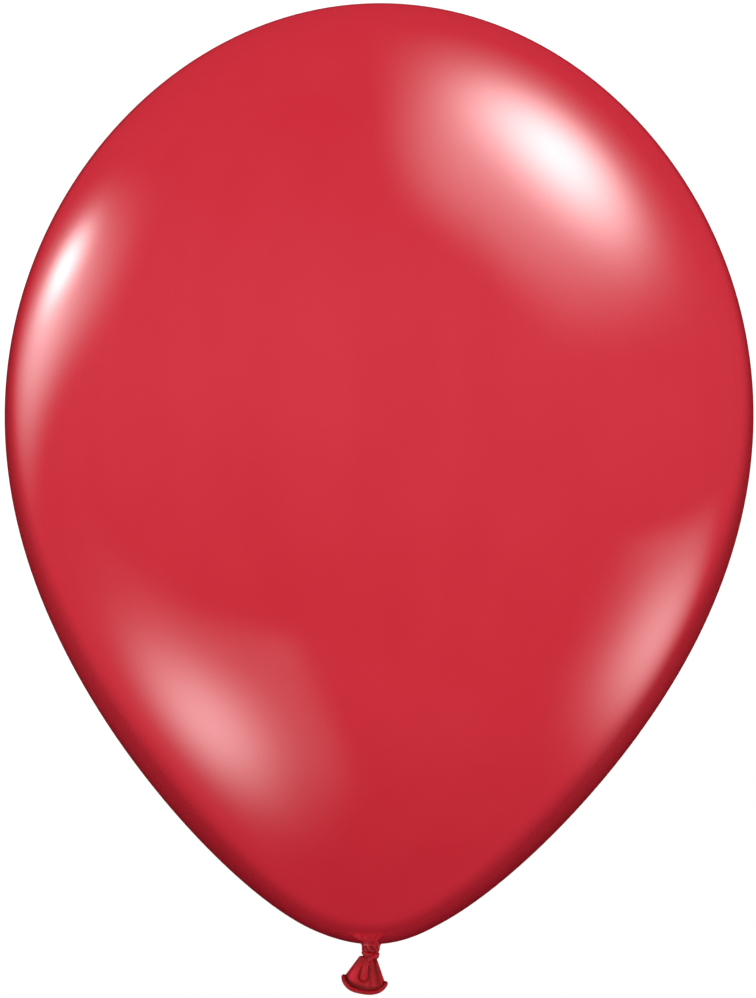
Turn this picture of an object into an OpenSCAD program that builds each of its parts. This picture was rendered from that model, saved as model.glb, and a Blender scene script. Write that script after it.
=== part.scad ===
// Round latex party balloon, inflated and tied off with a knot.
// +Z goes up through the crown and -Y is the front. The origin is in the middle of the gathered
// neck, where a ribbon is tied. The neck twists under the body about Z, the knot swings on the neck
// about Y, and the flat tail flops at the bottom of the knot about X.

/* [Inflated body] */
// Widest diameter of the inflated body
body_width = 280; // [200:1:360]
// Height of the inflated body from the neck to the crown
body_height = 352; // [240:1:460]
// Wall of the solid that stands in for the stretched film
film_wall = 0.4; // [0.35:0.01:1]
// How far the widest level is above the middle
high_shoulders = 0.166; // [0:0.001:0.2]
// How much the crown and the lower end are slimmed
slim_ends = 0.165; // [0:0.001:0.2]
// How much the lower flanks are straightened into a cone
straight_flanks = 0.051; // [0:0.001:0.08]

/* [Neck] */
// Length of the gathered neck between the body and the knot
neck_length = 2; // [1.8:0.1:5]
// Diameter of the strand that the neck's film is gathered into
neck_width = 4; // [2:0.1:5]
// Diameter of the gathers where the neck spreads into the body
gather_width = 6.4; // [5.5:0.1:12]

/* [Knot] */
// Widest size of the knot
knot_width = 7; // [6.5:0.1:12]
// Height of the knot
knot_height = 3.6; // [3:0.1:4.5]
// Diameter of the strand that is tucked through the knot
tuck_width = 2.4; // [1.6:0.1:2.6]
// Diameter of the bight where that strand comes out at the front
bight_width = 2.2; // [1.4:0.1:2.3]
// How far the bight stands out from the front of the knot
bight_rise = 0.4; // [0:0.1:1]
// Height of the middle of the bight above the knot's lower end
bight_height = 1.4; // [1.2:0.1:1.8]

/* [Tail] */
// Length of the tail from its bend under the knot to the middle of the lip
tail_length = 10.8; // [8:0.1:24]
// Width of the tail at its bend
tail_root_width = 7.8; // [6:0.1:14]
// Thickness of the flattened tail at its bend
tail_root_depth = 2.2; // [1.8:0.1:3]
// Angle that the tail fans out to
tail_spread = 50; // [40:1:90]
// Angle that the tail leans to the left
tail_lean = 7; // [0:0.5:15]
// Depth of the mouth between the front and back rims
mouth_depth = 4; // [3.4:0.1:6]
// Thickness of the tail's film
tail_wall = 0.6; // [0.4:0.05:0.9]
// Thickness of the rolled lip
bead_width = 2.2; // [1.4:0.1:3]
// Width of the fold on the front of the tail
pleat_width = 4.2; // [2.5:0.1:5]
// Length of that fold
pleat_length = 6; // [3:0.1:9]
// Distance from the top of the skirt to the fold
pleat_start = 1.2; // [1:0.1:3]
// How far the fold stands out from the skirt
pleat_rise = 0.8; // [0.4:0.1:1.2]

/* [Clearance] */
// Gap between stretches that move on each other
gap = 0.3; // [0.2:0.05:0.4]

/* [Hidden] */
$fn = 96;

film_colour = "#cd303e";
tail_colour = "#a51e28";

// The body stands on the neck.
body_floor = neck_length / 2;
body_steps = 72;

// The knot hangs under the neck, which ends in a ball at the origin.
knot_top = -neck_length / 2;
knot_middle = knot_top - knot_height / 2;
knot_bottom = knot_top - knot_height;
wrap_radius = (knot_width - knot_height) / 2;

// The tail bends about a level line through tail_hinge.
tail_hinge = knot_bottom - gap - tail_root_depth / 2;
// The fan's two edges meet at its apex, above the bend, and its lip is an arc about that apex.
apex_rise = tail_root_width / 2 / tan(tail_spread / 2);
fan_apex = tail_hinge + apex_rise;
fan_root = apex_rise + gap;
lip_radius = apex_rise + tail_length;
tail_drop = lip_radius - fan_root;
lip_half_depth = (mouth_depth + tail_wall) / 2;

// Steps of the tail's curved loops
end_step = 15;
side_steps = 16;
bead_step = 30;

// Radius of a body at an angle from its lower end, where 0 is the neck and 180 the crown.
function body_radius(width, angle) =
    width / 2 * sin(angle)
    * (1 - high_shoulders * cos(angle) - slim_ends * cos(angle) ^ 2 - straight_flanks * cos(angle) ^ 3)
    / fullest;

// The largest value of the shape above, which scales the body to its stated width.
fullest = max([for (angle = [90:0.25:120])
    sin(angle)
    * (1 - high_shoulders * cos(angle) - slim_ends * cos(angle) ^ 2 - straight_flanks * cos(angle) ^ 3)]);

// Half outline of a body of the given size, standing on the body's floor plus the lift.
module body_outline(width, height, lift) {
    translate([0, body_floor + lift])
        polygon([for (step = [0:body_steps])
            let (angle = 180 * step / body_steps)
            [max(0, body_radius(width, angle)), height * (1 - cos(angle)) / 2]]);
}

module envelope() {
    color(film_colour)
        difference() {
            rotate_extrude()
                difference() {
                    body_outline(body_width, body_height, 0);
                    body_outline(body_width - 2 * film_wall, body_height - 2 * film_wall, film_wall);
                }
            // The film's way down into the neck
            cylinder(d = gather_width + 2 * gap, h = body_floor + body_height / 4);
        }
}

// The gathers close the hole under the body, and narrow to a strand that ends in a ball.
module neck() {
    gather_height = neck_length / 4;
    color(tail_colour) {
        sphere(d = neck_width);
        cylinder(d = neck_width, h = body_floor);
        translate([0, 0, body_floor - gather_height])
            cylinder(d1 = neck_width, d2 = gather_width, h = gather_height);
        translate([0, 0, body_floor])
            cylinder(d = gather_width, h = 2 * film_wall);
    }
}

// A round turn about the tuck, with a socket that swings on the neck's ball.
module knot_wrap() {
    color(tail_colour)
        difference() {
            translate([0, 0, knot_middle])
                rotate_extrude()
                    intersection() {
                        translate([wrap_radius, 0])
                            circle(d = knot_height);
                        translate([tuck_width / 2, -knot_height])
                            square([knot_width, 2 * knot_height]);
                    }
            sphere(d = neck_width + 2 * gap);
        }
}

// The strand fills the turn's hole, and its bight stands out low at the front of the knot. The neck's
// ball has the same clearance over it as over the turn.
module knot_tuck() {
    strand_height = knot_height - (neck_width / 2 + 2 * gap + knot_top);
    bight_reach = knot_width / 2 + bight_rise - bight_width / 2;
    color(tail_colour)
        difference() {
            union() {
                translate([0, 0, knot_bottom])
                    cylinder(d = tuck_width, h = strand_height);
                translate([0, 0, knot_bottom + bight_height]) {
                    rotate([90, 0, 0])
                        cylinder(d = bight_width, h = bight_reach);
                    translate([0, -bight_reach, 0])
                        sphere(d = bight_width);
                }
            }
            sphere(d = neck_width + 2 * gap);
        }
}

// A point of the fan, at a distance and an angle from its apex and a depth towards the front.
function fan_point(radius, turn, depth) =
    let (angle = turn - tail_lean)
    [radius * sin(angle), -depth, fan_apex - radius * cos(angle)];

// A flat loop with round ends about the fan's middle, at one distance from its apex. It starts
// at the back of its right end and goes round by the right, the front, the left and the back.
function fan_loop(radius, half_depth, half_spread) =
    let (end_angle = atan(half_depth / radius), straight = half_spread - end_angle)
    concat(
        [for (turn = [-90:end_step:90])
            fan_point(radius, straight + end_angle * cos(turn), half_depth * sin(turn))],
        [for (step = [1:side_steps - 1])
            fan_point(radius, straight * (1 - 2 * step / side_steps), half_depth)],
        [for (turn = [90:end_step:270])
            fan_point(radius, end_angle * cos(turn) - straight, half_depth * sin(turn))],
        [for (step = [1:side_steps - 1])
            fan_point(radius, straight * (2 * step / side_steps - 1), -half_depth)]);

// One loop of the skirt's outer surface, or of its inner one when it is inset by the wall.
function skirt_loop(radius, inset) =
    let (share = (radius - fan_root) / tail_drop)
    fan_loop(
        radius,
        tail_root_depth / 2 * (1 - share) + lip_half_depth * share - inset,
        tail_spread / 2 - atan(inset / radius));

// The circle of the rolled lip about one point of its path, square to the path there.
function bead_circle(path, index) =
    let (
        here = path[index],
        along = path[(index + 1) % len(path)] - path[(index + len(path) - 1) % len(path)],
        outward = [here.x, 0, here.z - fan_apex] / lip_radius,
        across = cross(along, outward) / norm(cross(along, outward)))
    [for (turn = [0:bead_step:359])
        here + bead_width / 2 * (outward * cos(turn) + across * sin(turn))];

// Skin through loops of equally many points, either closed on itself or with an end cap each side.
module skin(loops, ring) {
    count = len(loops[0]);
    last = len(loops) - 1;
    sides = [for (loop = [0:ring ? last : last - 1], index = [0:count - 1])
        let (next_loop = (loop + 1) % len(loops), next = (index + 1) % count)
        [loop * count + index, next_loop * count + index, next_loop * count + next, loop * count + next]];
    first_cap = [for (index = [0:count - 1]) index];
    last_cap = [for (index = [count - 1:-1:0]) last * count + index];
    polyhedron([for (loop = loops) each loop], ring ? sides : concat(sides, [first_cap, last_cap]));
}

// A flattened funnel that opens at the lip, under a round bar along the bend.
module tail_skirt() {
    left_reach = apex_rise * tan(tail_spread / 2 + tail_lean);
    right_reach = apex_rise * tan(tail_spread / 2 - tail_lean);
    color(tail_colour) {
        skin([
            skirt_loop(fan_root, 0),
            skirt_loop(lip_radius, 0),
            skirt_loop(lip_radius, tail_wall),
            skirt_loop(fan_root + tail_root_depth, tail_wall)
        ], false);
        translate([-left_reach, 0, tail_hinge])
            rotate([0, 90, 0])
                cylinder(d = tail_root_depth, h = left_reach + right_reach);
    }
}

// A tongue with a round end that lies on the front of the skirt and follows its slope.
module tail_pleat() {
    slope = atan((lip_half_depth - tail_root_depth / 2) / tail_drop);
    straight_length = pleat_length - pleat_width / 2;
    color(tail_colour)
        translate(fan_point(fan_root, 0, tail_root_depth / 2))
            rotate([90, 90 - tail_lean, 0])
                rotate([0, -slope, 0])
                    translate([pleat_start, 0, -tail_wall / 2])
                        linear_extrude(tail_wall / 2 + pleat_rise) {
                            translate([0, -pleat_width / 2])
                                square([straight_length, pleat_width]);
                            translate([straight_length, 0])
                                circle(d = pleat_width);
                        }
}

// The rolled rim, whose path is the middle of the skirt's wall at the mouth.
module lip_bead() {
    path = fan_loop(lip_radius, mouth_depth / 2, tail_spread / 2 - atan(tail_wall / 2 / lip_radius));
    color(tail_colour)
        skin([for (index = [0:len(path) - 1]) bead_circle(path, index)], true);
}

envelope();
neck();
knot_wrap();
knot_tuck();
tail_skirt();
tail_pleat();
lip_bead();
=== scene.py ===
import math

import bmesh
import bpy
from mathutils import Matrix, Vector, noise


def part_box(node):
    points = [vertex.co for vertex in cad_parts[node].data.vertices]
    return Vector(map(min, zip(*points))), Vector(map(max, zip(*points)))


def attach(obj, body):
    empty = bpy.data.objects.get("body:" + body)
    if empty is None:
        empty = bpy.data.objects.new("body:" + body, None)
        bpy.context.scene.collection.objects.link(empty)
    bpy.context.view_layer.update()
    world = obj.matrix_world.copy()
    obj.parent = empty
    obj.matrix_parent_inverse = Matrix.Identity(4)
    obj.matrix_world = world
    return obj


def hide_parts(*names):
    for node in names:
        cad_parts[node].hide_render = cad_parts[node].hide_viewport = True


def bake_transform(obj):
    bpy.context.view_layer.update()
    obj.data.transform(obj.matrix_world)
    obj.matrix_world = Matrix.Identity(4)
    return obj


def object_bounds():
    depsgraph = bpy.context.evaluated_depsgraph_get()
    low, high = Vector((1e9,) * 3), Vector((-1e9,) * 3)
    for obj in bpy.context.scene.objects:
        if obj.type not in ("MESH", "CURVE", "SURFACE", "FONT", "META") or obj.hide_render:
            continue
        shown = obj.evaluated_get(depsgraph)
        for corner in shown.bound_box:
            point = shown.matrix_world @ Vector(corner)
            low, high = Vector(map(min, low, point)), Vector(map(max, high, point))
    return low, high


# A round latex balloon, inflated and tied off with a knot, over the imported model's frame.
# Lengths are in metres unless a name or comment says millimetres. +Z goes up through the crown,
# -Y is the front, and the origin is in the middle of the gathered neck.

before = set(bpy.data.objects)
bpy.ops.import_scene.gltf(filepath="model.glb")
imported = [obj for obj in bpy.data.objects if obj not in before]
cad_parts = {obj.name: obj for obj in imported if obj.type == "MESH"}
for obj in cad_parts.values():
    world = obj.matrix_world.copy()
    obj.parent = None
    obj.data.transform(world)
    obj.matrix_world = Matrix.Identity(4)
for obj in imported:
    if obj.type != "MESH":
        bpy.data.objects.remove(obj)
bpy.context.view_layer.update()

MM = 0.001

# The body's outline, in the same terms as the CAD model's
HALF_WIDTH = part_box("envelope")[1].x
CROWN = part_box("envelope")[1].z
BODY_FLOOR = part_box("neck")[1].z / 2
FILM_WALL = 0.4 * MM
HIGH_SHOULDERS = 0.166
SLIM_ENDS = 0.165
STRAIGHT_FLANKS = 0.051

# The neck, the knot and the tail. The knot sits a little to the left of the body's axis.
KNOT_SIDE = -0.5 * MM
BODY_LEAN = -1.5 * MM
COLUMN_RADIUS = 3.5 * MM
COLLAR_FILLET = 0.7 * MM
KNOT_MIDDLE = -2.75 * MM
WRAP_RADIUS = 1.95 * MM
WRAP_THICKNESS = 1.5 * MM
WRAP_TILT = math.radians(12)
APEX = Vector((-0.5 * MM, 0, 2.1 * MM))
TAIL_LEAN = math.radians(-8.5)
TAIL_HALF_SPREAD = math.radians(28)
LIP_RADIUS = 19.1 * MM
LIP_ROUNDING = 2.3 * MM
BEAD_RADIUS = 0.95 * MM
TAIL_WALL = 0.3 * MM

# The view is level, far away and square to the front, with a slight roll that leans the balloon.
VIEW_HEIGHT = 167.7 * MM
VIEW_DISTANCE = 2.077
VIEW_ROLL = math.radians(-0.744)
LENS = 200
FLOOR_DROP = 150 * MM


# Mesh helpers

def smoothstep(low, high, value):
    """Rises smoothly from 0 at low to 1 at high."""
    share = min(1, max(0, (value - low) / (high - low)))
    return share * share * (3 - 2 * share)


def mesh_object(name, points, faces, folds=None):
    """A smooth mesh, with painted shade from 0 to 1 deep in a crease and painted light down to -1 at
    each point.
    """
    mesh = bpy.data.meshes.new(name)
    mesh.from_pydata([tuple(point) for point in points], [], faces)
    work = bmesh.new()
    work.from_mesh(mesh)
    bmesh.ops.recalc_face_normals(work, faces=work.faces)
    work.to_mesh(mesh)
    work.free()
    mesh.polygons.foreach_set("use_smooth", [True] * len(mesh.polygons))
    # Painted shading at each point: painted shade in creases, painted light below 0
    attribute = mesh.attributes.new("fold", "FLOAT", "POINT")
    attribute.data.foreach_set("value", folds or [0.0] * len(points))
    piece = bpy.data.objects.new(name, mesh)
    bpy.context.scene.collection.objects.link(piece)
    return piece


def loft(name, loops, ring=False, folds=None):
    """Skin through loops of equally many points, closed on itself or with a cap at each end."""
    count = len(loops[0])
    last = len(loops) - 1
    faces = []
    for row in range(len(loops) if ring else last):
        below = row * count
        above = (row + 1) % len(loops) * count
        for index in range(count):
            following = (index + 1) % count
            faces.append((below + index, below + following, above + following, above + index))
    if not ring:
        faces.append(tuple(range(count)))
        faces.append(tuple(last * count + index for index in range(count)))
    return mesh_object(name, [point for loop in loops for point in loop], faces, folds)


# Body

def body_shape(angle):
    """The outline's distance from the axis, before scaling, at an angle from the neck to the crown."""
    level = math.cos(angle)
    slimming = 1 - HIGH_SHOULDERS * level - SLIM_ENDS * level**2 - STRAIGHT_FLANKS * level**3
    return math.sin(angle) * slimming


FULLEST = max(body_shape(math.radians(90 + step / 4)) for step in range(120))


def body_point(angle):
    """(distance from the axis, height) of the outline at an angle from the neck to the crown."""
    height = CROWN - BODY_FLOOR
    return HALF_WIDTH * body_shape(angle) / FULLEST, BODY_FLOOR + height * (1 - math.cos(angle)) / 2


def gather(turn, strength):
    """How far the film is drawn in by the gathers round the neck, from 0 to about 1."""
    pleats = 0.5 - 0.5 * math.cos(11 * turn + 1.1 * math.sin(2 * turn))
    fine_pleats = 0.5 - 0.5 * math.cos(23 * turn + 2)
    return strength * (0.75 * pleats + 0.25 * fine_pleats)


def film_lean(height):
    """How far the lower end of the body leans to the side. It ends in line with the knot."""
    lean = BODY_LEAN * max(0, 1 - height / (0.33 * CROWN))**1.3
    above_neck = smoothstep(BODY_FLOOR, BODY_FLOOR + 8 * MM, height)
    return KNOT_SIDE + (lean - KNOT_SIDE) * above_neck


def make_film():
    """The stretched film as a thin shell: down the inside to the collar, and up the outside."""
    segments = 192
    gather_depth = 0.15 * MM
    gather_reach = 6.5 * MM
    least_radius = 0.05 * MM
    collar_radius = COLUMN_RADIUS + 0.15 * MM
    collar_steps = 5
    near_neck = 24
    up_body = 110
    bend = math.radians(16)
    crown_gap = 0.004

    # The body's outline starts where it is wide enough for the collar's fillet
    start = next(math.radians(step / 20) for step in range(400)
                 if body_point(math.radians(step / 20))[0] > collar_radius + COLLAR_FILLET)
    start_radius, start_height = body_point(start)
    outline = []
    for step in range(collar_steps + 1):
        turn = math.radians(180 - 90 * step / collar_steps)
        outline.append((start_radius + COLLAR_FILLET * math.cos(turn),
                        start_height - COLLAR_FILLET + COLLAR_FILLET * math.sin(turn)))
    for step in range(1, near_neck):
        outline.append(body_point(start + (bend - start) * step / near_neck))
    for step in range(up_body):
        outline.append(body_point(bend + (math.pi - crown_gap - bend) * step / (up_body - 1)))

    outside, inside = [], []
    for row, (radius, height) in enumerate(outline):
        before = Vector(outline[max(0, row - 1)])
        after = Vector(outline[min(len(outline) - 1, row + 1)])
        along = (after - before).normalized()
        outward = Vector((along.y, -along.x))
        near_collar = 1 - smoothstep(COLUMN_RADIUS, gather_reach, radius)
        strength = near_collar if height < CROWN / 2 else 0
        outer_loop, inner_loop = [], []
        for index in range(segments):
            turn = math.tau * index / segments
            dent = gather_depth * gather(turn, strength**2)
            side = Vector((math.cos(turn), math.sin(turn), 0))
            for loop, depth in ((outer_loop, dent), (inner_loop, dent + FILM_WALL)):
                away = max(least_radius, radius - outward.x * depth)
                middle = Vector((film_lean(height), 0, height - outward.y * depth))
                loop.append(side * away + middle)
        outside.append(outer_loop)
        inside.append(inner_loop)
    return loft("stretched_film", inside[::-1] + outside)


# Neck

def rounded(corners, steps, passes):
    """Points along a path from corner to corner, which each pass rounds off a little more."""
    points = []
    for here, following in zip(corners, corners[1:]):
        points += [here.lerp(following, step / steps) for step in range(steps)]
    points.append(corners[-1])
    for _ in range(passes):
        points[1:-1] = [(a + 2 * b + c) / 4 for a, b, c in zip(points, points[1:], points[2:])]
    return points


def strand(name, levels):
    """A gathered strand through (height, radius) levels in millimetres, in line with the knot."""
    segments = 132
    pleat_depth = 0.42 * MM
    turn_a_metre = 200
    corners = [Vector((height * MM, radius * MM)) for height, radius in levels]
    loops, folds = [], []
    for height, radius in rounded(corners, 8, 10):
        loop = []
        for index in range(segments):
            turn = math.tau * index / segments
            dent = gather(turn + turn_a_metre * height, 1)
            away = radius - pleat_depth * dent
            loop.append(Vector((KNOT_SIDE + away * math.cos(turn), away * math.sin(turn), height)))
            # Painted shade darkens the pleats' grooves
            folds.append(dent**2)
        loops.append(loop)
    return loft(name, loops, folds=folds)


def make_neck():
    """The gathers under the body, and the strand from them down into the knot."""
    gathers = strand("neck_gathers", (
        (1.9, 3.0), (1.0, 3.6), (0.1, 3.5), (-0.5, 3.45), (-0.8, 3.1)))
    column = strand("neck_strand", (
        (0.2, 3.0), (-0.2, 3.4), (-0.8, 3.45), (-1.5, 3.4), (-2.4, 2.6), (-4.4, 2.2)))
    return gathers, column


# Knot

def make_knot_wrap():
    """The turn of the knot, a slanting roll of gathered film round the strand."""
    turns, sides = 144, 48
    pleat_depth = 0.2 * MM
    tilt = Matrix.Rotation(WRAP_TILT, 4, "Y")
    loops, folds = [], []
    for step in range(turns):
        turn = math.tau * step / turns
        swell = 1 + 0.08 * math.sin(turn - 0.6) + 0.05 * math.sin(3 * turn)
        side = Vector((math.cos(turn), math.sin(turn), 0))
        loop = []
        for index in range(sides):
            around = math.tau * index / sides
            dent = (0.5 + 0.5 * math.cos(4 * around + 1.6 * math.sin(turn) + turn))**2
            thickness = WRAP_THICKNESS * swell - pleat_depth * dent
            local = side * (WRAP_RADIUS + thickness * math.cos(around))
            local += Vector((0, 0, thickness * math.sin(around)))
            loop.append(tilt @ local + Vector((KNOT_SIDE, 0, KNOT_MIDDLE)))
            # Painted shade darkens the roll's pleat grooves
            folds.append(0.7 * dent)
        loops.append(loop)
    return loft("knot_roll", loops, ring=True, folds=folds)


def make_knot_tuck():
    """The bight of the strand that is tucked through, which stands out low at the front."""
    path = [Vector(point) * MM for point in (
        (1.2, 0.4, -2.6), (0.9, -1.6, -2.9), (0.4, -2.9, -3.4), (-0.2, -3.2, -4.0),
        (-0.9, -2.4, -4.6), (-1.4, -0.9, -5.0))]
    points = rounded(path, 6, 6)
    sides = 36
    strand_radius = 1.0 * MM
    pleat_depth = 0.15 * MM
    loops, folds = [], []
    for row, here in enumerate(points):
        along = (points[min(row + 1, len(points) - 1)] - points[max(row - 1, 0)]).normalized()
        across = along.cross(Vector((1, 0, 0))).normalized()
        up = across.cross(along)
        loop = []
        for index in range(sides):
            around = math.tau * index / sides
            dent = (0.5 + 0.5 * math.cos(3 * around + 0.15 * row))**2
            away = strand_radius - pleat_depth * dent
            loop.append(here + away * (across * math.cos(around) + up * math.sin(around)))
            # Painted shade darkens the bight's pleat grooves
            folds.append(0.5 * dent)
        loops.append(loop)
    return loft("knot_bight", loops, folds=folds)


# Tail

def fan_point(radius, across, depth):
    """A point of the tail at a distance from its apex. across goes from -1 at the left edge to 1."""
    turn = TAIL_LEAN + TAIL_HALF_SPREAD * across
    return APEX + Vector((radius * math.sin(turn), -depth, -radius * math.cos(turn)))


def lip_path(across):
    """Distance of the lip from the tail's apex, which is less at the two ends."""
    return LIP_RADIUS - LIP_ROUNDING * across**4


# (across, depth in millimetres, width) of the creases that run from the knot to the lip. Across goes
# from -1 at the left edge to 1, and so does the width.
FRONT_CREASES = ((-0.9, 0.30, 0.06), (0.3, 0.16, 0.10), (0.70, 0.70, 0.14))
BACK_CREASES = ((-0.62, 0.42, 0.07), (-0.2, 0.36, 0.06), (0.22, 0.55, 0.06), (0.6, 0.34, 0.07))
ROOT_RADIUS = 5.6 * MM
FOLD_START = Vector((-2.2, 0, -5.4)) * MM
FOLD_END = Vector((-2.95, 0, -11.1)) * MM
FOLD_RADIUS = 1.55 * MM


def fold_distance(point):
    """Distance, seen from the front, from the outline of the tongue-shaped fold."""
    flat = Vector((point.x, 0, point.z))
    along = FOLD_END - FOLD_START
    share = min(1, max(0, (flat - FOLD_START).dot(along) / along.length_squared))
    return (flat - FOLD_START - along * share).length - FOLD_RADIUS * (0.6 + 0.4 * share)


def skirt_depth(share, turn):
    """(depth, painted crease shade) of the skirt's surface, part-way from the knot to the lip, at a
    turn about it.
    """
    root_depth = 1.75 * MM
    waist = 0.35 * MM
    mouth_opening = 0.25 * MM
    ripple_depth = 0.12 * MM
    across = math.cos(turn)
    rise = abs(math.sin(turn))**0.8
    depth = (root_depth - waist * math.sin(math.pi * share) + mouth_opening * share) * rise
    fold = 0
    for middle, dent, width in (FRONT_CREASES if math.sin(turn) > 0 else BACK_CREASES):
        near = math.exp(-((across - middle) / width)**2)
        fade = 1 - 0.55 * share
        depth -= dent * MM * near * fade * min(1, 2 * rise)
        # Painted shade darkens the film along each crease
        fold = max(fold, near * fade * min(1, 1.6 * dent + 0.3))
    ripple = ripple_depth * (1 - 0.6 * share) * math.cos(19 * across + 3 * share)
    return depth + ripple * rise, fold


def make_skirt():
    """The flattened funnel between the knot and the lip, with its open mouth."""
    segments, rows = 240, 60
    first_inner_row = rows // 8 + 1
    groove_width = 0.6 * MM
    groove_depth = 0.45 * MM
    least_depth = 0.05 * MM
    edge_wall = 1 - TAIL_WALL / (4 * MM)
    # The skirt's inside is darkened with painted shade
    fold_inside = 0.6
    outside, inside, folds = [], [], []
    for row in range(rows + 1):
        share = row / rows
        # The top is drawn in where the knot hides it
        shoulder = 0.5 + 0.5 * smoothstep(0, 0.14, share)
        outer_loop, inner_loop = [], []
        for index in range(segments):
            turn = math.tau * index / segments
            across = math.cos(turn)
            radius = ROOT_RADIUS + (lip_path(across) - ROOT_RADIUS) * share
            depth, fold = skirt_depth(share, turn)
            face = 1 if math.sin(turn) >= 0 else -1
            point = fan_point(radius, across * shoulder, face * depth)
            if face > 0:
                open_top = smoothstep(-6 * MM, -8.5 * MM, point.z)
                groove = open_top * math.exp(-(fold_distance(point) / groove_width)**2)
                point.y += groove_depth * groove
                # Painted shade darkens the groove round the tongue
                fold = max(fold, 0.95 * groove)
            # Painted shade in a band just inside the lip, stronger to the left
            lip_crease_shade = math.exp(-((1 - share) / 0.05 - 2.2)**2)
            fold = max(fold, (0.8 - 0.3 * across) * lip_crease_shade)
            # Painted light: the lower left of the tail's front gets a lighter colour, as if lit from
            # that side, where no crease darkens it
            if fold < 0.3 and face > 0:
                lit_side = smoothstep(-0.3, -0.65, across) * smoothstep(0.2, 0.7, share)
                fold -= lit_side * (1 - fold / 0.3)
            outer_loop.append(point)
            folds.append(fold)
            inner_depth = max(least_depth, depth - TAIL_WALL)
            inner_loop.append(fan_point(radius, across * shoulder * edge_wall, face * inner_depth))
        outside.append(outer_loop)
        if row >= first_inner_row:
            inside.append(inner_loop)
    folds += [fold_inside] * (len(inside) * segments)
    return loft("tail_skirt_film", outside + inside[::-1], folds=folds)


def make_fold():
    """The tongue of folded film that lies on the front of the skirt."""
    rows, sides = 40, 40
    rise = 0.62 * MM
    seat = 0.15 * MM
    along = FOLD_END - FOLD_START
    tip = along.normalized()
    loops, folds = [], []
    for row in range(rows + 1):
        share = row / rows
        reach = share * (along.length + FOLD_RADIUS * 2) - FOLD_RADIUS
        past = max(0, reach - along.length, -reach) / FOLD_RADIUS
        width = FOLD_RADIUS * (0.6 + 0.4 * min(1, max(0, reach / along.length)))
        round_end = math.sqrt(max(0.0004, 1 - past * past))
        middle = FOLD_START + tip * reach
        slope = 1.55 * MM + 0.05 * (reach / along.length) * MM
        loop = []
        for index in range(sides):
            around = math.tau * index / sides
            bulge = rise * (0.75 + 0.25 * round_end) * math.sin(around) * min(1, 1.4 * round_end)
            point = middle + Vector((width * round_end * math.cos(around), 0, 0))
            point.y = -(slope - seat + bulge)
            loop.append(point)
            # Painted shade along the tongue's seated side, below the knot
            shade_under_tongue = smoothstep(0.5, -0.1, math.sin(around))
            folds.append(0.95 * shade_under_tongue * smoothstep(-6 * MM, -8.5 * MM, middle.z))
        loops.append(loop)
    return loft("tail_fold", loops, folds=folds)


def make_lip():
    """The rolled rim round the mouth."""
    turns, sides = 240, 24
    outside_film = 0.1 * MM
    path = []
    for step in range(turns):
        turn = math.tau * step / turns
        depth, _ = skirt_depth(1, turn)
        face = 1 if math.sin(turn) >= 0 else -1
        across = math.cos(turn)
        path.append(fan_point(lip_path(across), across, face * (depth + outside_film)))
    for _ in range(4):
        path = [(path[index - 1] + 2 * here + path[(index + 1) % turns]) / 4
                for index, here in enumerate(path)]
    loops, folds = [], []
    for step, here in enumerate(path):
        along = (path[(step + 1) % turns] - path[step - 1]).normalized()
        outward = (here - APEX).normalized()
        across = along.cross(outward).normalized()
        outward = across.cross(along)
        rolled = BEAD_RADIUS * (1 + 0.12 * noise.noise(here * 350))
        loop = []
        for index in range(sides):
            around = math.tau * index / sides
            loop.append(here + rolled * (outward * math.cos(around) + across * math.sin(around)))
            # Painted shade: the bead is darkened a little all round, and more on its inner side
            # against the skirt
            folds.append(0.3 + 0.6 * smoothstep(-0.35, -0.9, math.cos(around)))
        loops.append(loop)
    return loft("rolled_lip", loops, ring=True, folds=folds)


# Materials

def add(tree, kind, **values):
    """A node of that kind, with the given properties."""
    node = tree.nodes.new(kind)
    for name, value in values.items():
        setattr(node, name, value)
    return node


def noise_texture(tree, scale, detail, stretch=(1, 1, 1)):
    """Noise in the piece's own coordinates, with scale in waves a metre."""
    place = add(tree, "ShaderNodeTexCoord")
    mapping = add(tree, "ShaderNodeMapping")
    mapping.inputs["Scale"].default_value = stretch
    texture = add(tree, "ShaderNodeTexNoise")
    texture.inputs["Scale"].default_value = scale
    texture.inputs["Detail"].default_value = detail
    tree.links.new(place.outputs["Object"], mapping.inputs["Vector"])
    tree.links.new(mapping.outputs["Vector"], texture.inputs["Vector"])
    return texture.outputs["Fac"]


def ramp(tree, source, stops):
    """A colour ramp over a value, from (position, colour) stops."""
    node = add(tree, "ShaderNodeValToRGB")
    node.color_ramp.interpolation = "EASE"
    elements = node.color_ramp.elements
    while len(elements) < len(stops):
        elements.new(0.5)
    for element, (position, colour) in zip(elements, stops):
        element.position = position
        element.color = (*colour, 1)
    tree.links.new(source, node.inputs["Fac"])
    return node.outputs["Color"]


def map_range(tree, source, low, high, to_low, to_high):
    """Takes a value from the range low to high over to the range to_low to to_high."""
    node = add(tree, "ShaderNodeMapRange")
    ends = (("From Min", low), ("From Max", high), ("To Min", to_low), ("To Max", to_high))
    for name, value in ends:
        node.inputs[name].default_value = value
    tree.links.new(source, node.inputs["Value"])
    return node.outputs["Result"]


def blend_colours(tree, factor, first, second, kind="MIX"):
    """The first colour blended with the second. Each may be a value or another node's output."""
    node = add(tree, "ShaderNodeMix", data_type="RGBA", blend_type=kind)
    sockets = (node.inputs["Factor"], node.inputs[6], node.inputs[7])
    for socket, value in zip(sockets, (factor, first, second)):
        if isinstance(value, bpy.types.NodeSocket):
            tree.links.new(value, socket)
        else:
            socket.default_value = value
    return node.outputs[2]


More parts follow.
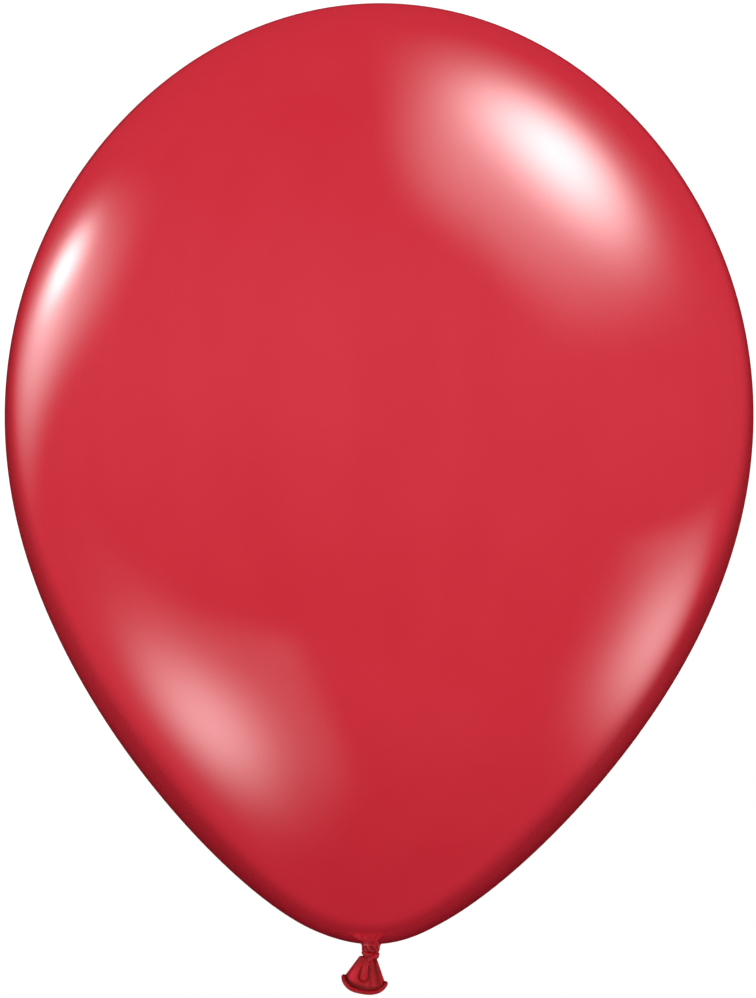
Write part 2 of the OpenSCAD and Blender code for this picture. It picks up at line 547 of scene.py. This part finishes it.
def bump(tree, layers):
    """Bumps from (height, distance) layers, the first of them nearest to the surface."""
    normal = None
    for height, distance in layers:
        node = add(tree, "ShaderNodeBump")
        node.inputs["Distance"].default_value = distance
        tree.links.new(height, node.inputs["Height"])
        if normal:
            tree.links.new(normal, node.inputs["Normal"])
        normal = node.outputs["Normal"]
    return normal


def new_material(name):
    """A material, with its node tree and its shader."""
    material = bpy.data.materials.new(name)
    material.use_nodes = True
    tree = material.node_tree
    shader = tree.nodes["Principled BSDF"]
    return material, tree, shader


# Colours of the film: deep where it is thicker, at the neck and round the crown, and deeper still
# towards the neck with painted shade; full; and thin where it is stretched most. Then slack film, its
# lighter mottle, a painted lit colour for the left of the tail's front, and painted shade for its
# creases
FILM_THICK_AND_SHADED = (0.49, 0.0165, 0.0315)
FILM_RED = (0.600, 0.0275, 0.0450)
FILM_THIN = (0.625, 0.0350, 0.0560)
TAIL_RED = (0.37, 0.0040, 0.0095)
TAIL_LIGHT = (0.52, 0.0085, 0.0190)
LIT_SIDE_RED = (0.64, 0.0130, 0.0360)
CREASE_SHADE_RED = (0.13, 0.0006, 0.0012)


def stretched_latex():
    """Taut glossy film, deeper in colour where it is thicker, at the neck and round the crown, and
    deeper towards the neck with painted shade.
    """
    material, tree, shader = new_material("stretched_latex")
    place = add(tree, "ShaderNodeTexCoord")
    height = add(tree, "ShaderNodeSeparateXYZ")
    tree.links.new(place.outputs["Object"], height.inputs["Vector"])
    level = map_range(tree, height.outputs["Z"], 0, CROWN, 0, 1)
    # Deeper from a third of the way up down to the neck, partly for thicker film and partly as painted
    # shade; deep again at the crown for thicker film
    by_height = ramp(tree, level, (
        (0.0, FILM_THICK_AND_SHADED), (0.32, FILM_RED), (0.62, FILM_THIN), (0.9, FILM_RED), (0.995, FILM_RED),
        (1.0, FILM_THICK_AND_SHADED)))
    clouds = ramp(tree, noise_texture(tree, 9, 3), ((0.3, (0.975, 0.93, 0.94)), (0.7, (1, 1, 1))))
    streaks = ramp(tree, noise_texture(tree, 60, 4, (1, 1, 0.12)), (
        (0.35, (0.985, 0.95, 0.96)), (0.65, (1, 1, 1))))
    pigment = ramp(tree, noise_texture(tree, 1100, 2), ((0.3, (0.99, 0.96, 0.965)), (0.7, (1, 1, 1))))
    colour = by_height
    for layer in (clouds, streaks, pigment):
        colour = blend_colours(tree, 1, colour, layer, "MULTIPLY")
    tree.links.new(colour, shader.inputs["Base Color"])
    wear = map_range(tree, noise_texture(tree, 35, 5), 0.3, 0.7, 0.08, 0.13)
    tree.links.new(wear, shader.inputs["Roughness"])
    normal = bump(tree, (
        (noise_texture(tree, 1800, 2), 0.002 * MM),
        (noise_texture(tree, 55, 2), 0.04 * MM)))
    tree.links.new(normal, shader.inputs["Normal"])
    shader.inputs["IOR"].default_value = 1.55
    shader.inputs["Coat Weight"].default_value = 1
    shader.inputs["Coat Roughness"].default_value = 0.05
    shader.inputs["Coat IOR"].default_value = 1.7
    return material


def gathered_latex():
    """Slack film drawn together in pleats: darker and duller, with light wrinkles, painted shade in
    the creases and painted light on the left.
    """
    material, tree, shader = new_material("gathered_latex")
    mottle = ramp(tree, noise_texture(tree, 420, 4), ((0.3, TAIL_RED), (0.75, TAIL_LIGHT)))
    # Painted light lightens the left of the tail's front, and painted shade darkens the creases to a
    # near-black red
    fold = add(tree, "ShaderNodeAttribute", attribute_name="fold")
    lit_side = map_range(tree, fold.outputs["Fac"], 0, -1, 0, 1)
    crease_shade = map_range(tree, fold.outputs["Fac"], 0, 1, 0, 1)
    colour = blend_colours(tree, lit_side, mottle, (*LIT_SIDE_RED, 1))
    colour = blend_colours(tree, crease_shade, colour, (*CREASE_SHADE_RED, 1))
    tree.links.new(colour, shader.inputs["Base Color"])
    dullness = map_range(tree, noise_texture(tree, 700, 3), 0.3, 0.7, 0.24, 0.42)
    tree.links.new(dullness, shader.inputs["Roughness"])
    normal = bump(tree, (
        (noise_texture(tree, 5200, 2), 0.01 * MM),
        (noise_texture(tree, 1500, 3, (1, 1, 0.25)), 0.12 * MM)))
    tree.links.new(normal, shader.inputs["Normal"])
    shader.inputs["IOR"].default_value = 1.36
    shader.inputs["Coat Weight"].default_value = 0.1
    shader.inputs["Coat Roughness"].default_value = 0.2
    return material


def pale_floor():
    """A matt floor with a faint change of tone."""
    material, tree, shader = new_material("pale_floor")
    tone = ramp(tree, noise_texture(tree, 3, 4), (
        (0.3, (0.90, 0.90, 0.90)), (0.7, (0.92, 0.92, 0.915))))
    tree.links.new(tone, shader.inputs["Base Color"])
    shader.inputs["Roughness"].default_value = 0.9
    shader.inputs["Specular IOR Level"].default_value = 0
    return material


def calculate(tree, operation, first, second=None):
    """A maths node over values or other nodes' outputs."""
    node = add(tree, "ShaderNodeMath", operation=operation)
    for socket, value in zip(node.inputs, (first, second)):
        if isinstance(value, bpy.types.NodeSocket):
            tree.links.new(value, socket)
        elif value is not None:
            socket.default_value = value
    return node.outputs["Value"]


def fade_in(tree, distance, softness):
    """Rises smoothly from 0 at an edge to 1 at that many half-sizes from it."""
    node = add(tree, "ShaderNodeMapRange", interpolation_type="SMOOTHERSTEP")
    node.inputs["From Max"].default_value = softness
    tree.links.new(distance, node.inputs["Value"])
    return node.outputs["Result"]


def softbox_cloth(name, soft_edges, glow, core, core_place, core_size):
    """A lit softbox's front, which fades towards its left, right, lower and upper edges.

    Its lamp shows through as a brighter core. Places and sizes are in half-sizes of the softbox.
    """
    material = bpy.data.materials.new(name)
    material.use_nodes = True
    tree = material.node_tree
    tree.nodes.clear()
    place = add(tree, "ShaderNodeTexCoord")
    parts = add(tree, "ShaderNodeSeparateXYZ")
    tree.links.new(place.outputs["Object"], parts.inputs["Vector"])
    even = None
    lamp_distance = None
    softness = iter(soft_edges)
    for axis, middle, size in zip("XY", core_place, core_size):
        along = parts.outputs[axis]
        for from_edge in (calculate(tree, "ADD", along, 1), calculate(tree, "SUBTRACT", 1, along)):
            fade = fade_in(tree, from_edge, next(softness))
            even = calculate(tree, "MULTIPLY", even, fade) if even else fade
        offset = calculate(tree, "DIVIDE", calculate(tree, "SUBTRACT", along, middle), size)
        squared = calculate(tree, "MULTIPLY", offset, offset)
        lamp_distance = calculate(tree, "ADD", lamp_distance, squared) if lamp_distance else squared
    lamp = calculate(tree, "EXPONENT", calculate(tree, "MULTIPLY", lamp_distance, -1))
    brightness = calculate(tree, "ADD", calculate(tree, "MULTIPLY", lamp, core), glow)
    light = add(tree, "ShaderNodeEmission")
    tree.links.new(calculate(tree, "MULTIPLY", brightness, even), light.inputs["Strength"])
    unlit = add(tree, "ShaderNodeBsdfTransparent")
    both = add(tree, "ShaderNodeAddShader")
    tree.links.new(unlit.outputs["BSDF"], both.inputs[0])
    tree.links.new(light.outputs["Emission"], both.inputs[1])
    output = add(tree, "ShaderNodeOutputMaterial")
    tree.links.new(both.outputs["Shader"], output.inputs["Surface"])
    return material


# Studio

def outline_normal(height):
    """(distance from the axis, outward part of the normal, upward part) of the body at a height."""
    cosine = 1 - 2 * (height - BODY_FLOOR) / (CROWN - BODY_FLOOR)
    angle = math.acos(cosine)
    below = Vector(body_point(angle - 0.01))
    above = Vector(body_point(angle + 0.01))
    along = (above - below).normalized()
    return body_point(angle)[0], along.y, -along.x


def softbox(name, across, height, distance, half_size, roll, cloth):
    """A softbox whose reflection falls on the front of the body, at a place across it and up it.

    Only gloss sees it, so that it draws its highlight and leaves the film's own colour even.
    """
    radius, level_part, up_part = outline_normal(height)
    cosine = across / radius
    sine = -math.sqrt(1 - cosine**2)
    normal = Vector((level_part * cosine, level_part * sine, up_part))
    place = Vector((across, radius * sine, height))
    sight = (place - camera.location).normalized()
    mirrored = sight - 2 * sight.dot(normal) * normal
    half_width, half_height = half_size
    corners = [(-1, -1, 0), (1, -1, 0), (1, 1, 0), (-1, 1, 0)]
    mesh = bpy.data.meshes.new(name)
    mesh.from_pydata(corners, [], [(0, 1, 2, 3)])
    panel = bpy.data.objects.new(name, mesh)
    bpy.context.scene.collection.objects.link(panel)
    facing = (-mirrored).to_track_quat("Z", "Y").to_matrix().to_4x4()
    panel.matrix_world = (
        Matrix.Translation(place + mirrored * distance) @ facing @ Matrix.Rotation(roll, 4, "Z")
        @ Matrix.Diagonal((half_width, half_height, 1, 1)))
    mesh.materials.append(cloth)
    panel.visible_camera = False
    panel.visible_diffuse = False
    panel.visible_transmission = False
    panel.visible_shadow = False


def make_camera():
    """The level camera in front, with the slight roll that leans the balloon."""
    lens = bpy.data.cameras.new("camera")
    lens.lens = LENS
    lens.sensor_width = 36
    lens.clip_end = 50
    made = bpy.data.objects.new("camera", lens)
    bpy.context.scene.collection.objects.link(made)
    made.location = (0, -VIEW_DISTANCE, VIEW_HEIGHT)
    level = Matrix.Rotation(math.radians(90), 3, "X")
    made.rotation_euler = (Matrix.Rotation(VIEW_ROLL, 3, "Y") @ level).to_euler()
    bpy.context.scene.camera = made
    bpy.context.view_layer.update()
    return made


def make_world():
    """A white studio all round. Gloss sees a red glow instead, and a dark backdrop low behind."""
    backdrop = Vector((0, math.cos(math.radians(22)), -math.sin(math.radians(22))))
    backdrop_edge = math.radians(34)
    edge_softness = math.radians(5)
    white = (1.12, 1.12, 1.12, 1)
    film_glow = (0.53, 0.026, 0.043, 1)
    dark_below = (0.01, 0.0, 0.001, 1)
    dark_level = (0.26, 0.009, 0.014, 1)
    world = bpy.data.worlds.new("studio")
    bpy.context.scene.world = world
    world.use_nodes = True
    world.cycles.sampling_method = "NONE"
    tree = world.node_tree
    background = tree.nodes["Background"]
    place = add(tree, "ShaderNodeTexCoord")
    towards = add(tree, "ShaderNodeVectorMath", operation="DOT_PRODUCT")
    towards.inputs[1].default_value = backdrop
    tree.links.new(place.outputs["Generated"], towards.inputs[0])
    behind = map_range(
        tree, towards.outputs["Value"],
        math.cos(backdrop_edge + edge_softness), math.cos(backdrop_edge - edge_softness), 0, 1)
    parts = add(tree, "ShaderNodeSeparateXYZ")
    tree.links.new(place.outputs["Generated"], parts.inputs["Vector"])
    dusk = map_range(tree, parts.outputs["Z"], -0.45, 0.1, 0, 1)
    dark = blend_colours(tree, dusk, dark_below, dark_level)
    glow = blend_colours(tree, behind, film_glow, dark)
    path = add(tree, "ShaderNodeLightPath")
    seen = blend_colours(tree, path.outputs["Is Glossy Ray"], white, glow)
    tree.links.new(seen, background.inputs["Color"])


def make_floor():
    """A pale round floor well below the balloon, left out of its gloss."""
    radius, sides = 6, 96
    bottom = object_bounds()[0].z - FLOOR_DROP
    rim = []
    for step in range(sides):
        turn = math.tau * step / sides
        rim.append((radius * math.cos(turn), radius * math.sin(turn), bottom))
    mesh = bpy.data.meshes.new("floor")
    mesh.from_pydata(rim, [], [tuple(range(sides))])
    floor = bpy.data.objects.new("floor", mesh)
    bpy.context.scene.collection.objects.link(floor)
    mesh.materials.append(pale_floor())
    floor.visible_glossy = False


camera = make_camera()
make_world()
make_floor()
bpy.context.scene.view_settings.view_transform = "Standard"

softbox(
    "main_softbox", across=60 * MM, height=287 * MM, distance=1.0, half_size=(1.23, 1.04),
    roll=math.radians(3), cloth=softbox_cloth(
        "main_softbox", soft_edges=(1.9, 1.1, 1.2, 0.8), glow=2.3,
        core=12.5, core_place=(-0.14, -0.03), core_size=(0.25, 0.35)))
softbox(
    "strip_softbox", across=-113.5 * MM, height=241 * MM, distance=1.0, half_size=(0.76, 0.43),
    roll=math.radians(-32), cloth=softbox_cloth(
        "strip_softbox", soft_edges=(1.45, 1.15, 1.6, 1.9), glow=4.4,
        core=12.5, core_place=(0.12, 0.3), core_size=(0.22, 0.24)))
softbox(
    "left_bounce", across=-60 * MM, height=88 * MM, distance=0.3, half_size=(0.38, 0.2),
    roll=math.radians(53), cloth=softbox_cloth(
        "left_bounce", soft_edges=(0.5, 1.9, 1.0, 0.5), glow=0.35,
        core=3.8, core_place=(0.07, 0), core_size=(0.32, 0.37)))
softbox(
    "right_bounce", across=92.5 * MM, height=118 * MM, distance=0.5, half_size=(0.35, 0.22),
    roll=math.radians(-22), cloth=softbox_cloth(
        "right_bounce", soft_edges=(1.9, 1.1, 0.9, 0.4), glow=0.35,
        core=8, core_place=(-0.85, 0.05), core_size=(0.65, 0.5)))

film_finish = stretched_latex()
slack_finish = gathered_latex()

film = make_film()
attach(film, "balloon")
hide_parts("envelope")

gathers, column = make_neck()
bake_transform(gathers)
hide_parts("neck")
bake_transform(column)
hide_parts("neck")

roll = make_knot_wrap()
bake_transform(roll)
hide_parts("knot_wrap")
bight = make_knot_tuck()
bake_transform(bight)
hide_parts("knot_tuck")

skirt = make_skirt()
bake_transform(skirt)
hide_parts("tail_skirt")
tongue = make_fold()
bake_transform(tongue)
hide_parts("tail_pleat")
lip = make_lip()
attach(lip, "tail")
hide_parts("lip_bead")

film.data.materials.append(film_finish)
for piece in (gathers, column, roll, bight, skirt, tongue, lip):
    piece.data.materials.append(slack_finish)
